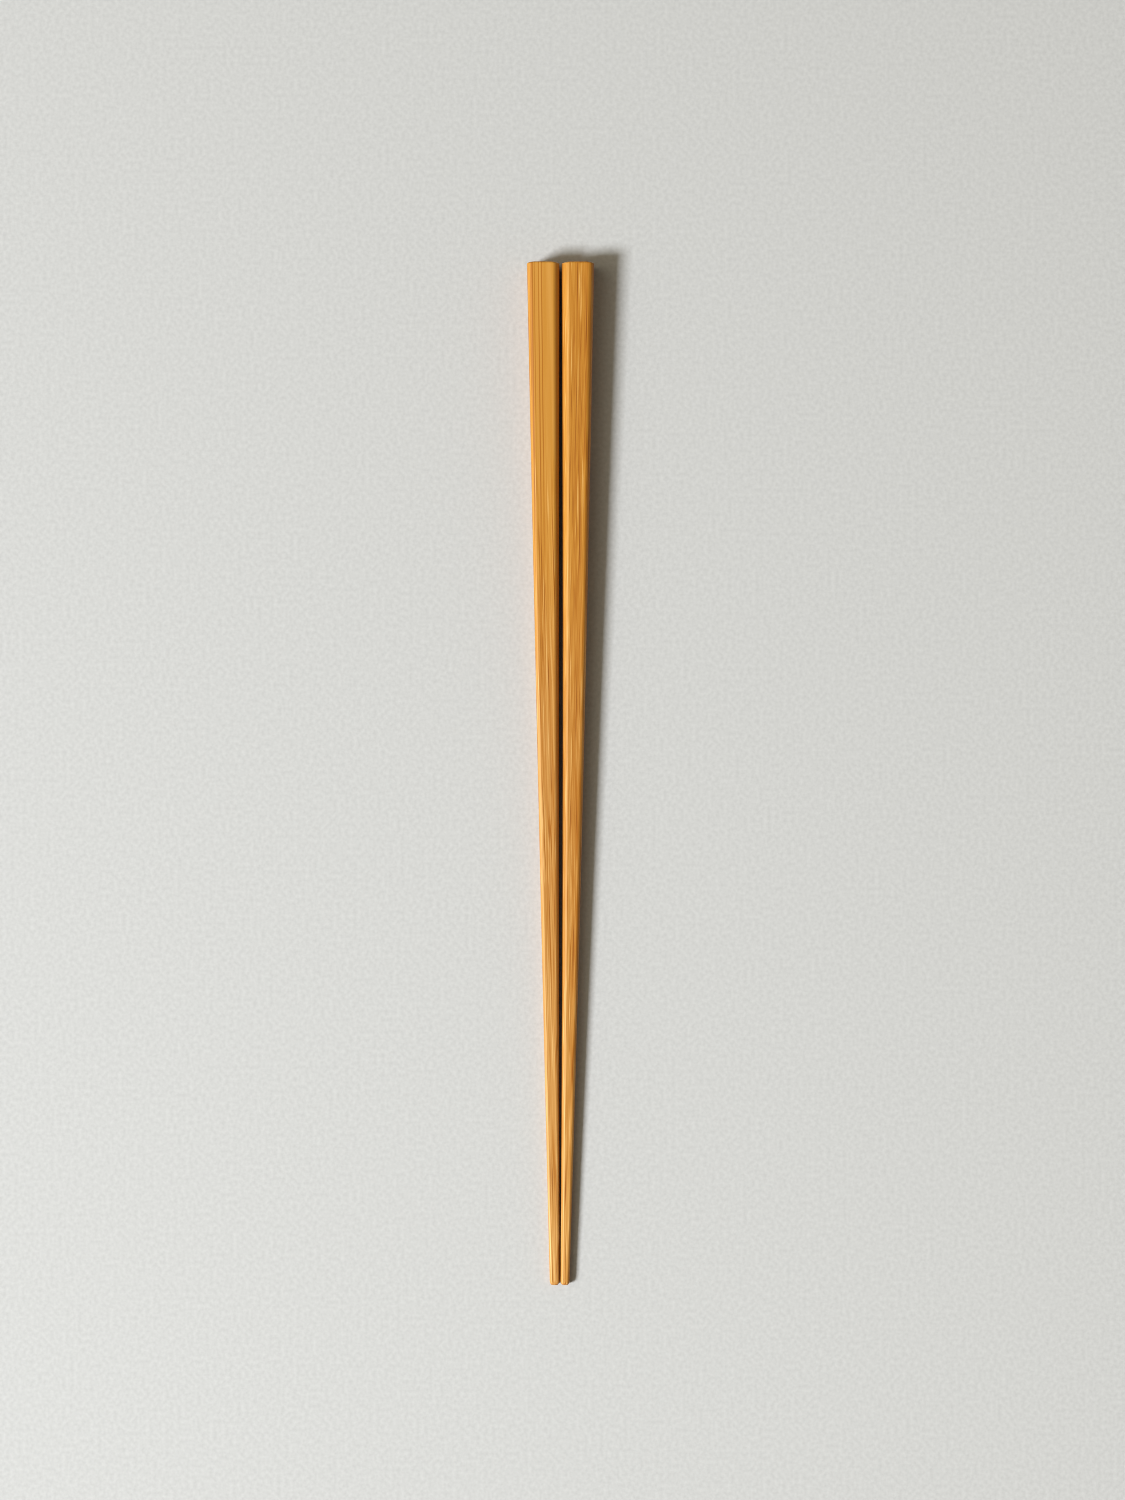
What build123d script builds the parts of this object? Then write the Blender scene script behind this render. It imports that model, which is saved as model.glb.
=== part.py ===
from build123d import *

import math
import os

# A pair of bamboo table chopsticks lying side by side, each at rest on one of its own flats.
# Y runs along the sticks with the butts at +Y, X runs across the pair, and the table is Z = 0.

# Length of a stick from butt to tip
STICK_LENGTH = 230.0

# Square blank, at the butt and at the tip
BUTT_WIDTH = 7.27
BUTT_HEIGHT = 7.27
TIP_WIDTH = 2.1
TIP_HEIGHT = 2.1

# Depth by which the planing leaves the faces hollow half way along
HOLLOW = 0.11

# Bevels planed by hand along the long edges, measured across the flat:
# inner ones on the side that faces the other stick, outer ones on the side away from it
LEFT_BUTT_INNER_BEVEL = 1.05
LEFT_BUTT_OUTER_BEVEL = 0.75
LEFT_TIP_INNER_BEVEL = 0.28
LEFT_TIP_OUTER_BEVEL = 0.33
RIGHT_BUTT_INNER_BEVEL = 1.25
RIGHT_BUTT_OUTER_BEVEL = 0.88
RIGHT_TIP_INNER_BEVEL = 0.55
RIGHT_TIP_OUTER_BEVEL = 0.4

# Rounding left by sanding: between the flats and the bevels, round the butt and round the tip
BUTT_ARRIS_RADIUS = 0.8
TIP_ARRIS_RADIUS = 0.5
BUTT_EASING = 0.3
TIP_ROUNDING = 0.45

# Depth to which the underside is rubbed flat, so that a stick lies still
SEAT_DEPTH = 0.02

# Daylight between the two sticks at each end
BUTT_GAP = 0.54
TIP_GAP = 0.29

# Outward bow that each stick has taken in drying, half way along
LEFT_BOW = 0.22
RIGHT_BOW = 0.49

# Shares of the way from butt to tip where a cross-section is drawn
STATIONS = (0.0, 0.5, 1.0)

# A bevel turns the edge by half a right angle
BEVEL_TURN = math.radians(45)

# A rounding takes up no more than this share of the wall that it rounds
LARGEST_SHARE = 0.9


def tapered(butt_size, tip_size, share):
    """A size that changes evenly along the stick, at a share of the way from butt to tip."""
    return butt_size + (tip_size - butt_size) * share


class Station:
    """The sizes of one stick at a share of the way from butt to tip."""

    def __init__(self, share, bow, inner_bevels, outer_bevels):
        swell = 4 * share * (1 - share)
        self.width = tapered(BUTT_WIDTH, TIP_WIDTH, share) - HOLLOW * swell
        self.height = tapered(BUTT_HEIGHT, TIP_HEIGHT, share) - HOLLOW * swell
        self.inner_bevel = tapered(*inner_bevels, share)
        self.outer_bevel = tapered(*outer_bevels, share)
        self.sanding = tapered(BUTT_ARRIS_RADIUS, TIP_ARRIS_RADIUS, share)
        self.gap = tapered(BUTT_GAP, TIP_GAP, share)
        self.along = STICK_LENGTH / 2 - STICK_LENGTH * share
        self.bow = bow * swell

    def arris_radius(self):
        """The sanded radius, limited by the narrowest flat or bevel beside it."""
        walls = (
            self.width - self.inner_bevel - self.outer_bevel,
            self.height - 2 * self.inner_bevel,
            self.height - 2 * self.outer_bevel,
            self.inner_bevel / math.cos(BEVEL_TURN),
            self.outer_bevel / math.cos(BEVEL_TURN),
        )
        wall_per_radius = 2 * math.tan(BEVEL_TURN / 2)
        return min(self.sanding, LARGEST_SHARE * min(walls) / wall_per_radius)

    def section(self):
        """The cross-section of a right-hand stick, bevelled and sanded, where it stands in the pair."""
        outline = Rectangle(self.width, self.height + SEAT_DEPTH)
        outline = chamfer(outline.vertices().group_by(Axis.X)[0], self.inner_bevel)
        outline = chamfer(outline.vertices().group_by(Axis.X)[-1], self.outer_bevel)
        outline = fillet(outline.vertices(), self.arris_radius())
        across = (self.gap + self.width) / 2 + self.bow
        up = (self.height - SEAT_DEPTH) / 2
        return Pos(across, self.along, up) * (Plane.XZ * outline)


def rounded_end(end_face, radius, station):
    """The stick with the rim of one end rounded, limited by the arrises that run into it."""
    return fillet(end_face.edges(), min(radius, LARGEST_SHARE * station.arris_radius()))


def right_hand_stick(bow, inner_bevels, outer_bevels):
    """A stick drawn from butt to tip, eased at both ends and rubbed flat where it rests."""
    stations = [Station(share, bow, inner_bevels, outer_bevels) for share in STATIONS]
    stick = loft([station.section() for station in stations])
    butt_face = stick.faces().sort_by(Axis.Y)[-1]
    stick = rounded_end(butt_face, BUTT_EASING, stations[0])
    tip_face = stick.faces().sort_by(Axis.Y)[0]
    stick = rounded_end(tip_face, TIP_ROUNDING, stations[-1])
    return split(stick, Plane.XY, keep=Keep.TOP)


left_stick = right_hand_stick(
    LEFT_BOW,
    inner_bevels=(LEFT_BUTT_INNER_BEVEL, LEFT_TIP_INNER_BEVEL),
    outer_bevels=(LEFT_BUTT_OUTER_BEVEL, LEFT_TIP_OUTER_BEVEL),
)
right_stick = right_hand_stick(
    RIGHT_BOW,
    inner_bevels=(RIGHT_BUTT_INNER_BEVEL, RIGHT_TIP_INNER_BEVEL),
    outer_bevels=(RIGHT_BUTT_OUTER_BEVEL, RIGHT_TIP_OUTER_BEVEL),
)
sticks = {
    "left_chopstick": mirror(left_stick, about=Plane.YZ),
    "right_chopstick": right_stick,
}

os.makedirs("parts", exist_ok=True)
for name, stick in sticks.items():
    export_step(stick, f"parts/{name}.step")
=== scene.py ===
import math

import bmesh
import bpy
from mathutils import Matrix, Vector


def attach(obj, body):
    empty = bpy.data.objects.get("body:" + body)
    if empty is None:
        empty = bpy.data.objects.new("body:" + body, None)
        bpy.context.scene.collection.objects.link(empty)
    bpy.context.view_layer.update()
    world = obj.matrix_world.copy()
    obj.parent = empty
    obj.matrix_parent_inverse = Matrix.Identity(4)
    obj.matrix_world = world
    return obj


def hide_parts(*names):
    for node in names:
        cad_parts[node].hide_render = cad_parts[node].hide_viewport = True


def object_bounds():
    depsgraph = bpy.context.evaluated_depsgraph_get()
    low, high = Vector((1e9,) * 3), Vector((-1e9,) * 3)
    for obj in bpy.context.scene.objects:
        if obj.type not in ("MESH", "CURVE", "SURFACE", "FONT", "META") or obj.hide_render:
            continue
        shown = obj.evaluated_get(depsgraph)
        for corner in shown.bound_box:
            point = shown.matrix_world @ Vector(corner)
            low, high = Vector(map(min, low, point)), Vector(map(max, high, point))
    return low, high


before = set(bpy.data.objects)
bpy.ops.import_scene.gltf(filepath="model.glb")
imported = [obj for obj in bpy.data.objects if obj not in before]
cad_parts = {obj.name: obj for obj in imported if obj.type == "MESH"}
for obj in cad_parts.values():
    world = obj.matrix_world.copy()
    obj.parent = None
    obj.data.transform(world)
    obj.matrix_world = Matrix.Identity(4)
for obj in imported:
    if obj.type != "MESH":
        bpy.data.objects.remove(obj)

cad_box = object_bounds()

# Each of the two sticks is planed from a single length of carbonised bamboo: a square blank that tapers
# from butt to tip, with a bevel along each long edge, every edge sanded round and a satin seal.
# It starts as two end plates, which are bridged into a blank, bowed, and drawn out into rounded ends.
MM = 0.001
BUTT_Y = cad_box[1].y
TIP_Y = cad_box[0].y

# The ends of the blanks; the left tip is a little the wider, and lies nearer to the middle of the pair
BUTT_WIDTH = 7.263 * MM
BUTT_HEIGHT = 7.263 * MM
BUTT_GAP = 0.54 * MM
LEFT_TIP_WIDTH = 2.21 * MM
RIGHT_TIP_WIDTH = 2.08 * MM
TIP_HEIGHT = 2.1 * MM
LEFT_TIP_INSIDE = 0.035 * MM
RIGHT_TIP_INSIDE = 0.165 * MM

# Half way along, the plane has left the top hollow, and each stick is bowed outwards
HOLLOW = 0.11 * MM
LEFT_BOW = 0.11 * MM
RIGHT_BOW = 0.38 * MM

# Bevels across the flat, the one that faces the other stick first
LEFT_BUTT_BEVELS = (1.05 * MM, 0.75 * MM)
LEFT_TIP_BEVELS = (0.32 * MM, 0.33 * MM)
RIGHT_BUTT_BEVELS = (1.25 * MM, 0.88 * MM)
RIGHT_TIP_BEVELS = (0.55 * MM, 0.40 * MM)

# Sanding of the long edges, and of the ends: how far back it starts, and how far in it goes across and up
BUTT_ARRIS_RADIUS = 1.3 * MM
TIP_ARRIS_RADIUS = 0.5 * MM
BUTT_ROUNDING = 0.45 * MM
BUTT_INSETS = (1.2 * MM, 0.3 * MM)
TIP_ROUNDING = 1.2 * MM
TIP_INSETS = (0.48 * MM, 0.48 * MM)

# Fineness of the mesh, and a distance that counts as none
ARRIS_STEPS = 6
ROUNDING_STEPS = 8
RINGS = 60
HAIR = 0.01 * MM

QUARTER_TURN = math.radians(90)
BEVEL_TURN = math.radians(45)

# A rounding takes up no more than this share of the wall that it rounds
LARGEST_SHARE = 0.9


def edit(piece):
    """Opens one piece for editing, with nothing of it selected."""
    bpy.ops.object.select_all(action="DESELECT")
    piece.select_set(True)
    bpy.context.view_layer.objects.active = piece
    bpy.ops.object.mode_set(mode="EDIT")
    bpy.ops.mesh.select_mode(type="VERT")
    bpy.ops.mesh.select_all(action="DESELECT")


def pick(piece, wanted):
    """Selects the points of the open piece that lie where wanted says, and the edges between them."""
    mesh = bmesh.from_edit_mesh(piece.data)
    for point in mesh.verts:
        point.select = wanted(point.co)
    mesh.select_flush(True)
    mesh.select_flush_mode()
    bmesh.update_edit_mesh(piece.data)


def cut_corners(piece, wanted, leg, steps=1):
    """Cuts the picked corners of a plate off, straight or round."""
    pick(piece, wanted)
    bpy.ops.mesh.bevel(offset=leg, segments=steps, profile=0.5, affect="VERTICES", clamp_overlap=False)


def end_plate(side, rim, size, bevels, arris):
    """One end of a blank as a flat plate with bevelled, sanded corners, its middle at rim."""
    inner_bevel, outer_bevel = bevels
    bpy.ops.object.select_all(action="DESELECT")
    bpy.ops.mesh.primitive_plane_add(size=1, location=rim, rotation=(QUARTER_TURN, 0, 0))
    plate = bpy.context.object
    plate.scale = (size[0], size[1], 1)
    bpy.ops.object.transform_apply(location=True, rotation=True, scale=True)
    edit(plate)
    cut_corners(plate, lambda co: side * (co.x - rim[0]) < 0, inner_bevel)
    outer_edge = rim[0] + side * (size[0] / 2 - HAIR)
    cut_corners(plate, lambda co: side * (co.x - outer_edge) > 0, outer_bevel)
    narrowest = min(bevels) / math.cos(BEVEL_TURN)
    leg = min(arris * math.tan(BEVEL_TURN / 2), LARGEST_SHARE * narrowest / 2)
    cut_corners(plate, lambda co: True, leg, ARRIS_STEPS)
    bpy.ops.object.mode_set(mode="OBJECT")
    return plate


def round_end(piece, rim, size, insets, end_y):
    """Draws one end of the open stick out into a rounded end; rim is the middle of its edge."""
    pick(piece, lambda co: abs(co.y - rim[1]) < HAIR)
    last_across, last_up, last_y = 1.0, 1.0, rim[1]
    for step in range(1, ROUNDING_STEPS + 1):
        turn = QUARTER_TURN * step / ROUNDING_STEPS
        drawn_in = 2 * (1 - math.cos(turn))
        across = 1 - drawn_in * insets[0] / size[0]
        up = 1 - drawn_in * insets[1] / size[1]
        y = rim[1] + (end_y - rim[1]) * math.sin(turn)
        bpy.ops.mesh.extrude_region_move(TRANSFORM_OT_translate={"value": (0, y - last_y, 0)})
        shrink = (across / last_across, 1, up / last_up)
        bpy.ops.transform.resize(value=shrink, center_override=(rim[0], y, rim[2]))
        last_across, last_up, last_y = across, up, y


def planed_stick(name, side, bow, tip_width, tip_inside, butt_bevels, tip_bevels):
    """A whole stick, left (-1) or right (1) of the pair; its tip starts at tip_inside from the middle."""
    butt_size = (BUTT_WIDTH, BUTT_HEIGHT)
    tip_size = (tip_width, TIP_HEIGHT)
    butt_rim = (side * (BUTT_GAP + BUTT_WIDTH) / 2, BUTT_Y - BUTT_ROUNDING, BUTT_HEIGHT / 2)
    tip_rim = (side * (tip_inside + tip_width / 2), TIP_Y + TIP_ROUNDING, TIP_HEIGHT / 2)
    butt = end_plate(side, butt_rim, butt_size, butt_bevels, BUTT_ARRIS_RADIUS)
    tip = end_plate(side, tip_rim, tip_size, tip_bevels, TIP_ARRIS_RADIUS)
    bpy.ops.object.select_all(action="DESELECT")
    tip.select_set(True)
    butt.select_set(True)
    bpy.context.view_layer.objects.active = butt
    bpy.ops.object.join()
    stick = bpy.context.object
    stick.name = name
    edit(stick)
    pick(stick, lambda co: True)
    bpy.ops.mesh.bridge_edge_loops(number_cuts=RINGS, interpolation="LINEAR")
    bpy.ops.mesh.select_all(action="SELECT")
    bpy.ops.mesh.fill_holes(sides=0)
    bpy.ops.mesh.normals_make_consistent(inside=False)
    length = butt_rim[1] - tip_rim[1]
    for ring in range(1, RINGS + 1):
        share = ring / (RINGS + 1)
        y = butt_rim[1] - length * share
        swell = 4 * share * (1 - share)
        planed = 1 - HOLLOW * swell / (BUTT_HEIGHT + (TIP_HEIGHT - BUTT_HEIGHT) * share)
        pick(stick, lambda co: abs(co.y - y) < HAIR)
        bpy.ops.transform.resize(value=(1, 1, planed), center_override=(0, y, 0))
        bpy.ops.transform.translate(value=(side * bow * swell, 0, 0))
    round_end(stick, butt_rim, butt_size, BUTT_INSETS, BUTT_Y)
    round_end(stick, tip_rim, tip_size, TIP_INSETS, TIP_Y)
    bpy.ops.object.mode_set(mode="OBJECT")
    bpy.ops.object.shade_smooth()
    bpy.ops.object.modifier_add(type="WEIGHTED_NORMAL")
    bpy.ops.object.modifier_apply(modifier=stick.modifiers[-1].name)
    facing = stick.data.attributes.new("facing_left", "FLOAT", "POINT")
    for point, turn in zip(stick.data.vertices, facing.data):
        turn.value = -point.normal.x
    return stick


left_stick = planed_stick("left_stick", -1, LEFT_BOW, LEFT_TIP_WIDTH, LEFT_TIP_INSIDE,
                          LEFT_BUTT_BEVELS, LEFT_TIP_BEVELS)
right_stick = planed_stick("right_stick", 1, RIGHT_BOW, RIGHT_TIP_WIDTH, RIGHT_TIP_INSIDE,
                           RIGHT_BUTT_BEVELS, RIGHT_TIP_BEVELS)


def wire(tree, kind, settings, inputs):
    """Adds a shader node with its settings, and links or sets each of the inputs given."""
    node = tree.nodes.new(kind)
    for name, value in settings.items():
        setattr(node, name, value)
    for name, value in inputs.items():
        if isinstance(value, bpy.types.NodeSocket):
            tree.links.new(value, node.inputs[name])
        else:
            node.inputs[name].default_value = value
    return node


def work_out(tree, operation, first, second):
    """The result of one sum of two numbers."""
    return wire(tree, "ShaderNodeMath", {"operation": operation}, {0: first, 1: second}).outputs[0]


def times_plus(tree, first, second, third):
    """The first number times the second, plus the third."""
    numbers = {0: first, 1: second, 2: third}
    return wire(tree, "ShaderNodeMath", {"operation": "MULTIPLY_ADD"}, numbers).outputs[0]


def ramp(tree, value, start, end, low=0.0, high=1.0):
    """A value eased from low at start to high at end."""
    limits = {"Value": value, "From Min": start, "From Max": end, "To Min": low, "To Max": high}
    return wire(tree, "ShaderNodeMapRange", {"interpolation_type": "SMOOTHSTEP"}, limits).outputs[0]


# Shades of the bamboo, from the deepest fibre to the palest pith, and where each lies between 0 and 1
SHADES = (
    (0.00, (0.265, 0.075, 0.006, 1)),
    (0.25, (0.392, 0.131, 0.012, 1)),
    (0.45, (0.484, 0.189, 0.020, 1)),
    (0.60, (0.555, 0.243, 0.033, 1)),
    (0.80, (0.640, 0.315, 0.066, 1)),
    (1.00, (0.750, 0.430, 0.135, 1)),
)

# Painted sheen: towards the tips the colour is mixed with a pale one that stands in for the lamp's sheen,
# most where the wood is pale
PAINTED_SHEEN_COLOUR = (0.85, 0.75, 0.62, 1)
PAINTED_SHEEN_SHADES = (0.25, 0.65)

# Zones in millimetres along the stick from its middle, over which one look passes into the next
TIP_CONTRAST_ZONE = (-110.0, -60.0)
BUTT_CONTRAST_ZONE = (45.0, 85.0)
TIP_SHADE_ZONE = (TIP_Y / MM, 0.0)
BUTT_SHADE_ZONE = (30.0, 75.0)
BUTT_EDGE_ZONE = (20.0, 105.0)
FINER_ZONE = (-60.0, 20.0)
PAINTED_SHEEN_ZONE = (60.0, 0.0)
END_GRAIN_ZONE = (TIP_Y / MM + 0.10, TIP_Y / MM + 0.60)
END_GRAIN_DEPTH = 0.40

# Fibres by thickness in millimetres, length as a share of the stick's own fibres, and weight
FIBRE_LAYERS = ((0.50, 1.0, 0.40), (0.30, 0.50, 0.65), (0.18, 0.35, 0.45))
BROAD_THICKNESS, BROAD_LENGTH, BROAD_WEIGHT = 1.7, 70.0, 0.40
DARK_THICKNESS, DARK_LENGTH = 0.40, 1.4
PALE_THICKNESS, PALE_LENGTH = 0.36, 0.9

# Dark and pale dashes show where their streaks are strongest; no dark ones on an edge that faces left,
# towards the lamp, which keeps the painted light there even
DARK_DASHES = (0.58, 0.69, 0.0, 0.48)
DARK_DASH_TURNS = (0.0, 0.30, 1.0, 0.0)
PALE_DASHES = (0.59, 0.70, 0.0, 0.45)

# Slow sway of the fibres: waves per millimetre, and how far the fibres stray
SWAY_WAVES = (0.05, 0.014, 0.05)
SWAY_REACH = (0.6, 0, 0.6)
NOISE_MIDDLE = 0.5

# Where a surface turns left (1) or right (-1): painted shade on right-hand edges, turned away from the lamp,
# and painted shade on the side walls, which darkens the gap between the sticks and dims their light on the
# paper
RIGHT_EDGE = (-0.15, -0.45, 0.0, 0.08)
RIGHT_WALL = (-0.86, -0.98, 0.0, 0.20)
LEFT_WALL_FULL = 0.98
LEFT_WALL_DEPTH = 0.42

# Satin seal: roughness along fine streaks, strength and tint of the reflection, and relief of the fibres
SATIN_THICKNESS, SATIN_LENGTH = 0.4, 10.0
SATIN = (0.3, 0.7, 0.42, 0.50)
SEAL_SPECULAR = 0.40
SEAL_TINT = (1.0, 0.88, 0.66, 1)
RELIEF_STRENGTH = 0.35
RELIEF_DEPTH = 0.02 * MM

# Dark bundles along the left stick's outer half: place across, width, where it ends and depth of shade
LAID_DRIFT = -0.012
LAID_FADE = 30.0
LEFT_LAID_FIBRES = (
    (-5.38, 0.44, 66.0, 0.26),
    (-5.02, 0.46, 38.0, 0.40),
    (-4.53, 0.26, 60.0, 0.28),
    (-3.60, 0.34, 20.0, 0.34),
    (-2.93, 0.30, 45.0, 0.34),
)

# Between those bundles the wood is plainer, in this zone along and across, by this much at most
PLAIN_ALONG = (35.0, 75.0)
PLAIN_ACROSS = (-1.3, -0.3, 0.0, 0.65)

TO_MM = (1 / MM, 1 / MM, 1 / MM)


def streaks(tree, grain, thickness, length, seed):
    """A soft value from 0 to 1 that runs in long streaks of one size, in millimetres."""
    scale = (1 / thickness, 1 / length, 1 / thickness)
    stretched = wire(tree, "ShaderNodeMapping", {}, {"Vector": grain, "Scale": scale})
    noise = {"Vector": stretched.outputs[0], "W": seed, "Scale": 1.0, "Detail": 1.0, "Roughness": 0.5}
    return wire(tree, "ShaderNodeTexNoise", {"noise_dimensions": "4D"}, noise).outputs[0]


def shaded(tree, shade, streak, weight):
    """The shade so far made lighter where a streak is above its middle, and darker where it is below."""
    return times_plus(tree, work_out(tree, "SUBTRACT", streak, NOISE_MIDDLE), weight, shade)


def swaying(tree, straight, seed):
    """The stick's space in millimetres, with its straight fibres made to sway slowly."""
    slow = wire(tree, "ShaderNodeMapping", {}, {"Vector": straight, "Scale": SWAY_WAVES}).outputs[0]
    waves = {"Vector": slow, "W": seed, "Scale": 1.0, "Detail": 1.0}
    sway = wire(tree, "ShaderNodeTexNoise", {"noise_dimensions": "4D"}, waves).outputs["Color"]
    middle = (NOISE_MIDDLE, NOISE_MIDDLE, NOISE_MIDDLE)
    centred = wire(tree, "ShaderNodeVectorMath", {"operation": "SUBTRACT"}, {0: sway, 1: middle})
    swayed = {0: centred.outputs[0], 1: SWAY_REACH, 2: straight}
    return wire(tree, "ShaderNodeVectorMath", {"operation": "MULTIPLY_ADD"}, swayed).outputs[0]


def grain_strength(tree, straight, along, contrasts, laid_fibres):
    """How strongly the grain shows from butt to tip, less where dark bundles are laid."""
    butt_contrast, middle_contrast, tip_contrast = contrasts
    strength = ramp(tree, along, *TIP_CONTRAST_ZONE, tip_contrast, middle_contrast)
    to_butt = ramp(tree, along, *BUTT_CONTRAST_ZONE, 0.0, butt_contrast - middle_contrast)
    strength = work_out(tree, "ADD", strength, to_butt)
    if laid_fibres:
        across = wire(tree, "ShaderNodeSeparateXYZ", {}, {0: straight}).outputs["X"]
        plain = ramp(tree, along, *PLAIN_ALONG)
        plain = work_out(tree, "MULTIPLY", plain, ramp(tree, across, *PLAIN_ACROSS))
        strength = work_out(tree, "SUBTRACT", strength, plain)
    return strength


def painted_edge_light_and_shade(tree, shade, along, facing, edge_shades, edge_turns, left_wall_start):
    """The shade with the left-hand edge, which faces the lamp, painted lighter or deeper by its edge shade,
    and painted shade on the right edges and walls.
    """
    butt_edge, middle_edge = edge_shades
    edge = ramp(tree, along, *BUTT_EDGE_ZONE, middle_edge, butt_edge)
    edge = work_out(tree, "MULTIPLY", ramp(tree, facing, *edge_turns), edge)
    shade = work_out(tree, "ADD", shade, edge)
    left_wall = (left_wall_start, LEFT_WALL_FULL, 0.0, LEFT_WALL_DEPTH)
    for turns in (RIGHT_EDGE, left_wall, RIGHT_WALL):
        shade = work_out(tree, "SUBTRACT", shade, ramp(tree, facing, *turns))
    return shade


def laid_in(tree, shade, place, laid_fibres):
    """The shade with single dark bundles laid along the stick, each fading out at its end."""
    turned = {"Vector": place, "Rotation": (0, 0, math.atan(LAID_DRIFT)), "Scale": TO_MM}
    beside = wire(tree, "ShaderNodeMapping", {}, turned).outputs[0]
    lines = wire(tree, "ShaderNodeSeparateXYZ", {}, {0: beside})
    for across, width, end, depth in laid_fibres:
        off = work_out(tree, "SUBTRACT", lines.outputs["X"], across)
        off = work_out(tree, "ABSOLUTE", off, 0.0)
        line = ramp(tree, off, width / 2, width / 5, 0.0, depth)
        fade = ramp(tree, lines.outputs["Y"], end, end + LAID_FADE)
        shade = work_out(tree, "SUBTRACT", shade, work_out(tree, "MULTIPLY", line, fade))
    return shade


def coloured(tree, shade):
    """The colour of the bamboo for each shade."""
    colours = wire(tree, "ShaderNodeValToRGB", {}, {0: shade})
    stops = colours.color_ramp.elements
    for position, colour in SHADES[1:-1]:
        stops.new(position)
    for stop, (position, colour) in zip(stops, SHADES):
        stop.position = position
        stop.color = colour
    return colours.outputs[0]


def bamboo(name, middle, drift, dip, fibre_length, girth, tip_fineness, seed, shades, contrasts,
           edge_shades, edge_turns, left_wall_start, painted_sheen, laid_fibres):
    """Carbonised bamboo for one stick; shades, contrasts and edges are given from the butt on."""
    material = bpy.data.materials.new(name)
    material.use_nodes = True
    tree = material.node_tree
    shader = tree.nodes["Principled BSDF"]
    place = wire(tree, "ShaderNodeTexCoord", {}, {}).outputs["Object"]
    turned = {
        "Vector": place,
        "Location": (-middle / MM, 0, 0),
        "Rotation": (-dip, 0, math.atan(drift)),
        "Scale": TO_MM,
    }
    straight = wire(tree, "ShaderNodeMapping", {}, turned).outputs[0]
    grain = swaying(tree, straight, seed)
    along = wire(tree, "ShaderNodeSeparateXYZ", {}, {0: straight}).outputs["Y"]
    facing = wire(tree, "ShaderNodeAttribute", {"attribute_name": "facing_left"}, {}).outputs["Fac"]
    finer = ramp(tree, along, *FINER_ZONE, tip_fineness, 1.0)
    finer = wire(tree, "ShaderNodeCombineXYZ", {}, {0: finer, 1: 1.0, 2: finer}).outputs[0]
    fibres = wire(tree, "ShaderNodeVectorMath", {"operation": "MULTIPLY"}, {0: grain, 1: finer}).outputs[0]

    strength = grain_strength(tree, straight, along, contrasts, laid_fibres)
    butt_shade, middle_shade, tip_shade = shades
    shade = ramp(tree, along, *TIP_SHADE_ZONE, tip_shade, middle_shade)
    shade = work_out(tree, "ADD", shade, ramp(tree, along, *BUTT_SHADE_ZONE, 0.0, butt_shade - middle_shade))
    broad = streaks(tree, grain, BROAD_THICKNESS * girth, BROAD_LENGTH, seed + 1.0)
    shade = shaded(tree, shade, broad, BROAD_WEIGHT)
    for thickness, share, weight in FIBRE_LAYERS:
        streak = streaks(tree, fibres, thickness * girth, fibre_length * share, seed + 40 * thickness)
        shade = shaded(tree, shade, streak, work_out(tree, "MULTIPLY", strength, weight))
    # Painted light and shade on the edges and walls, by which way the surface faces
    shade = painted_edge_light_and_shade(tree, shade, along, facing, edge_shades, edge_turns, left_wall_start)

    dark = streaks(tree, fibres, DARK_THICKNESS * girth, fibre_length * DARK_LENGTH, seed + 4.0)
    dark = ramp(tree, dark, *DARK_DASHES)
    # No dark dashes on edges that face left, towards the lamp, so that their painted light stays even
    dark = work_out(tree, "MULTIPLY", dark, ramp(tree, facing, *DARK_DASH_TURNS))
    shade = work_out(tree, "SUBTRACT", shade, work_out(tree, "MULTIPLY", dark, strength))
    pale = streaks(tree, fibres, PALE_THICKNESS * girth, fibre_length * PALE_LENGTH, seed + 5.0)
    pale = ramp(tree, pale, *PALE_DASHES)
    shade = work_out(tree, "ADD", shade, work_out(tree, "MULTIPLY", pale, strength))
    shade = work_out(tree, "SUBTRACT", shade, ramp(tree, along, *END_GRAIN_ZONE, END_GRAIN_DEPTH, 0.0))
    if laid_fibres:
        shade = laid_in(tree, shade, place, laid_fibres)

    # Painted sheen, mixed in from the middle towards the tip, most where the shade is pale
    sheen_share = ramp(tree, shade, *PAINTED_SHEEN_SHADES, 0.0, painted_sheen)
    sheen_share = work_out(tree, "MULTIPLY", ramp(tree, along, *PAINTED_SHEEN_ZONE), sheen_share)
    sheen_mix = {0: sheen_share, 6: coloured(tree, shade), 7: PAINTED_SHEEN_COLOUR}
    mixed = wire(tree, "ShaderNodeMix", {"data_type": "RGBA"}, sheen_mix).outputs[2]
    tree.links.new(mixed, shader.inputs["Base Color"])

    satin = ramp(tree, streaks(tree, grain, SATIN_THICKNESS, SATIN_LENGTH, seed + 7.0), *SATIN)
    tree.links.new(satin, shader.inputs["Roughness"])
    shader.inputs["Specular IOR Level"].default_value = SEAL_SPECULAR
    shader.inputs["Specular Tint"].default_value = SEAL_TINT
    relief = {"Height": shade, "Strength": RELIEF_STRENGTH, "Distance": RELIEF_DEPTH}
    tree.links.new(wire(tree, "ShaderNodeBump", {}, relief).outputs[0], shader.inputs["Normal"])
    return material


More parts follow.
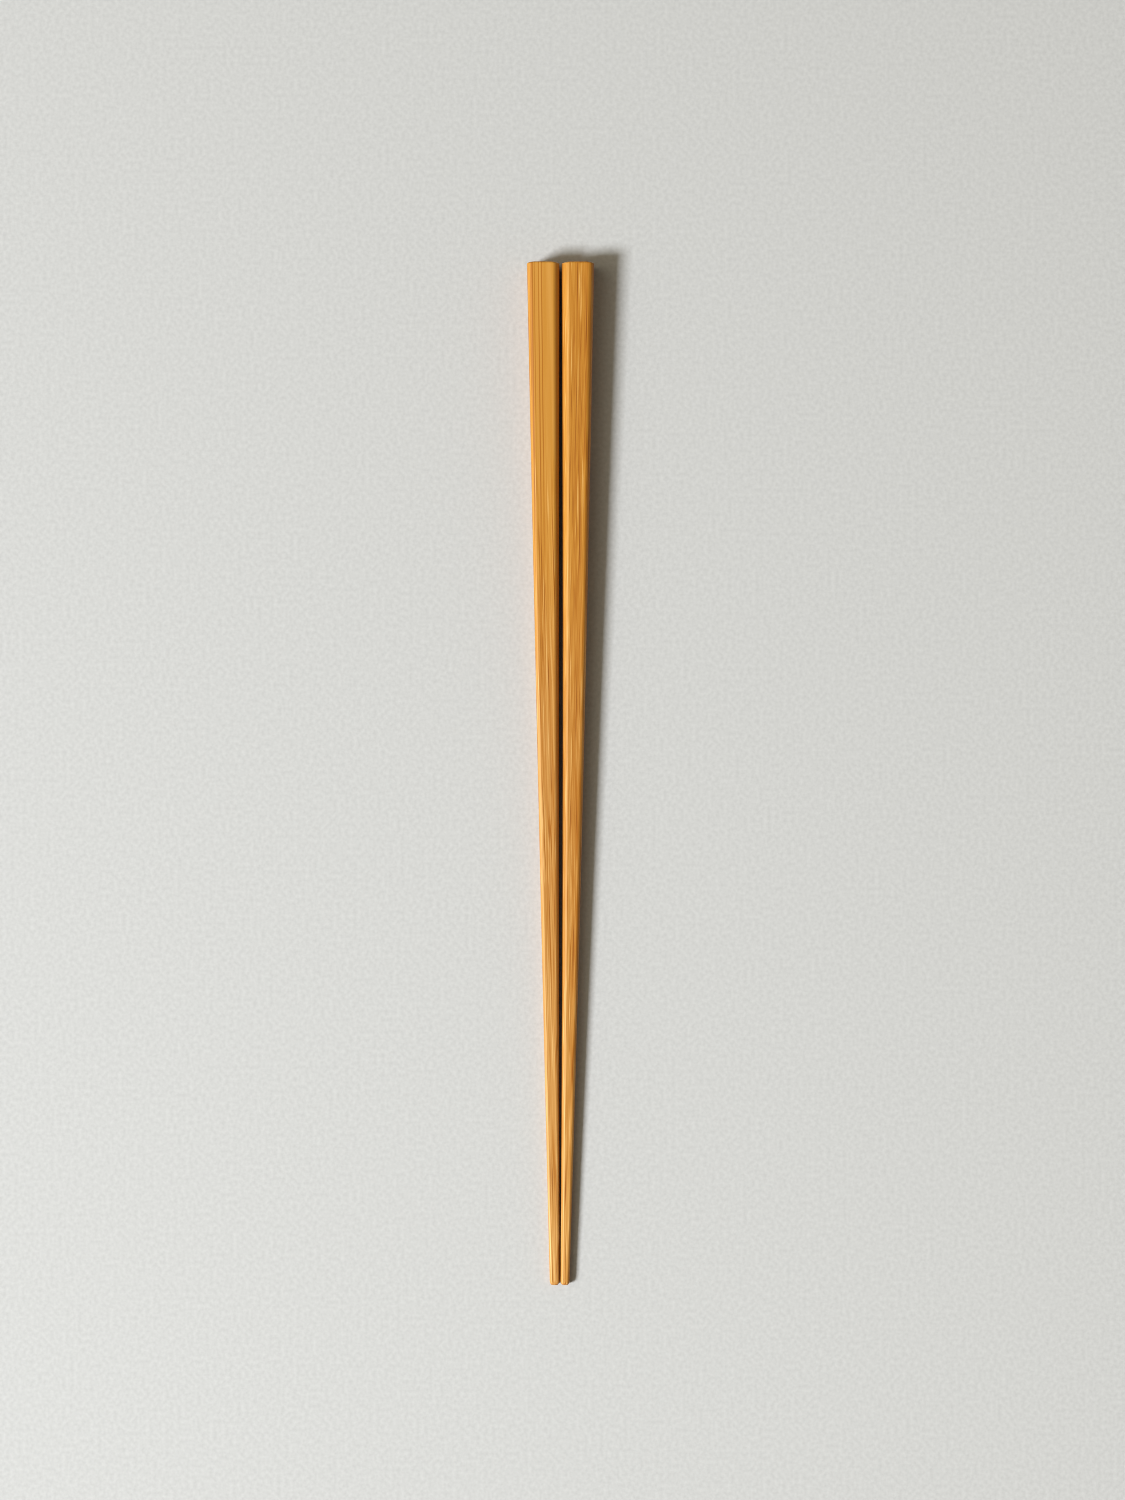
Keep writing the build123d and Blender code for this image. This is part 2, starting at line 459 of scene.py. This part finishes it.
# Long, even fibres with a plain, pale butt on the left stick; shorter, warmer ones on the right stick
# Each stick's edge shades, edge turns and left wall start set its painted light and shade on edges and
# walls; its painted sheen sets the sheen
left_bamboo = bamboo(
    "left_bamboo",
    middle=-3.0 * MM,
    drift=-0.024,
    dip=0.010,
    fibre_length=52.0,
    girth=0.74,
    tip_fineness=1.5,
    seed=3.0,
    shades=(0.68, 0.53, 0.635),
    contrasts=(0.72, 0.97, 1.9),
    edge_shades=(-0.06, 0.10),
    edge_turns=(0.10, 0.50),
    left_wall_start=0.86,
    painted_sheen=0.06,
    laid_fibres=LEFT_LAID_FIBRES,
)
right_bamboo = bamboo(
    "right_bamboo",
    middle=3.0 * MM,
    drift=0.016,
    dip=0.022,
    fibre_length=18.0,
    girth=0.72,
    tip_fineness=1.0,
    seed=21.0,
    shades=(0.475, 0.465, 0.60),
    contrasts=(0.88, 0.86, 1.1),
    edge_shades=(0.18, 0.12),
    edge_turns=(0.05, 0.25),
    left_wall_start=0.65,
    painted_sheen=0.04,
    laid_fibres=(),
)

for stick, node, finish in (
    (left_stick, "left_chopstick", left_bamboo),
    (right_stick, "right_chopstick", right_bamboo),
):
    stick.data.materials.clear()
    stick.data.materials.append(finish)
    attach(stick, "root")
    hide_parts(node)

# The floor is one wide sheet of matt, pale grey paper that lies flat under the pair.
# It is a plain plane, with the fine tooth of the paper as a mottle of two close greys.
FLOOR_SIZE = 16.0
TOOTH_SIZE = 0.9 * MM
TOOTH_DETAIL = 3.0
DARKER_GREY = (0.480, 0.483, 0.484, 1)
PALER_GREY = (0.620, 0.623, 0.624, 1)
PAPER_ROUGHNESS = 0.9
PAPER_SPECULAR = 0.2
bpy.ops.object.select_all(action="DESELECT")
bpy.ops.mesh.primitive_plane_add(size=FLOOR_SIZE, location=(0, 0, 0))
paper = bpy.context.object
paper.name = "paper_floor"
paper_finish = bpy.data.materials.new("pale_paper")
paper_finish.use_nodes = True
paper_tree = paper_finish.node_tree
paper_shader = paper_tree.nodes["Principled BSDF"]
paper_place = wire(paper_tree, "ShaderNodeTexCoord", {}, {}).outputs["Object"]
fine_noise = {"Vector": paper_place, "Scale": 1 / TOOTH_SIZE, "Detail": TOOTH_DETAIL, "Roughness": 0.5}
tooth = wire(paper_tree, "ShaderNodeTexNoise", {"noise_dimensions": "2D"}, fine_noise).outputs[0]
greys = {0: tooth, 6: DARKER_GREY, 7: PALER_GREY}
mottle = wire(paper_tree, "ShaderNodeMix", {"data_type": "RGBA"}, greys).outputs[2]
paper_tree.links.new(mottle, paper_shader.inputs["Base Color"])
paper_shader.inputs["Roughness"].default_value = PAPER_ROUGHNESS
paper_shader.inputs["Specular IOR Level"].default_value = PAPER_SPECULAR
paper.data.materials.append(paper_finish)

# One soft lamp stands on the left, a little towards the tips, and is aimed past them,
# so that the paper grows paler from the butts to the tips.
LAMP_FROM = Vector((-1.05, -0.47, 1.0))
LAMP_AIM = Vector((0.0, -0.9, 0.0))
LAMP_DISTANCE = 2.5
LAMP_WIDTH = 0.66
LAMP_HEIGHT = 0.62
LAMP_POWER = 96.0
LAMP_COLOUR = (0.955, 0.99, 1.015)
lamp_place = LAMP_FROM.normalized() * LAMP_DISTANCE
bpy.ops.object.light_add(type="AREA", location=lamp_place)
lamp = bpy.context.object
lamp.name = "soft_lamp"
lamp.data.shape = "RECTANGLE"
lamp.data.size = LAMP_WIDTH
lamp.data.size_y = LAMP_HEIGHT
lamp.data.energy = LAMP_POWER
lamp.data.color = LAMP_COLOUR
lamp.rotation_mode = "QUATERNION"
lamp.rotation_quaternion = (LAMP_AIM - lamp_place).to_track_quat("-Z", "Y")

# The room is dim and warm. Its ceiling on the lamp's side glows over the pair from high on the left,
# and its right-hand wall, low down, sends a little of that back.
ROOM_LEAST = 0.03
ROOM_COLOUR = (1.0, 0.885, 0.66, 1)
ROOM_GLOWS = (
    ((-0.638, 0.0, 0.77), 8.0, 1.50),
    ((0.98, 0.0, 0.20), 2.0, 0.38),
)
room = bpy.data.worlds.new("dim_room")
room.use_nodes = True
room_tree = room.node_tree
room_light = room_tree.nodes["Background"]
outwards = wire(room_tree, "ShaderNodeTexCoord", {}, {}).outputs["Generated"]
glow = ROOM_LEAST
for brightest, narrowness, strength in ROOM_GLOWS:
    towards = {0: outwards, 1: brightest}
    aligned = wire(room_tree, "ShaderNodeVectorMath", {"operation": "DOT_PRODUCT"}, towards)
    near = work_out(room_tree, "MAXIMUM", aligned.outputs["Value"], 0.0)
    lit = work_out(room_tree, "POWER", near, narrowness)
    glow = times_plus(room_tree, lit, strength, glow)
room_tree.links.new(glow, room_light.inputs["Strength"])
room_light.inputs["Color"].default_value = ROOM_COLOUR
bpy.context.scene.world = room

# The camera hangs straight above the pair, with the whole length in its upright picture.
# Its pixels are sharp, and colours come out as they are lit.
CAMERA_X = 0.535 * MM
CAMERA_Y = 5.63 * MM
CAMERA_HEIGHT = 0.72
CAMERA_ROLL = 0.0009
PICTURE_LENGTH = 0.339
SENSOR = 36.0
PIXEL_BLUR = 1.0
bpy.ops.object.camera_add(location=(CAMERA_X, CAMERA_Y, CAMERA_HEIGHT), rotation=(0, 0, CAMERA_ROLL))
camera = bpy.context.object
camera.data.sensor_width = SENSOR
camera.data.lens = SENSOR * CAMERA_HEIGHT / PICTURE_LENGTH
bpy.context.scene.camera = camera
bpy.context.scene.view_settings.view_transform = "Standard"
bpy.context.scene.cycles.filter_width = PIXEL_BLUR
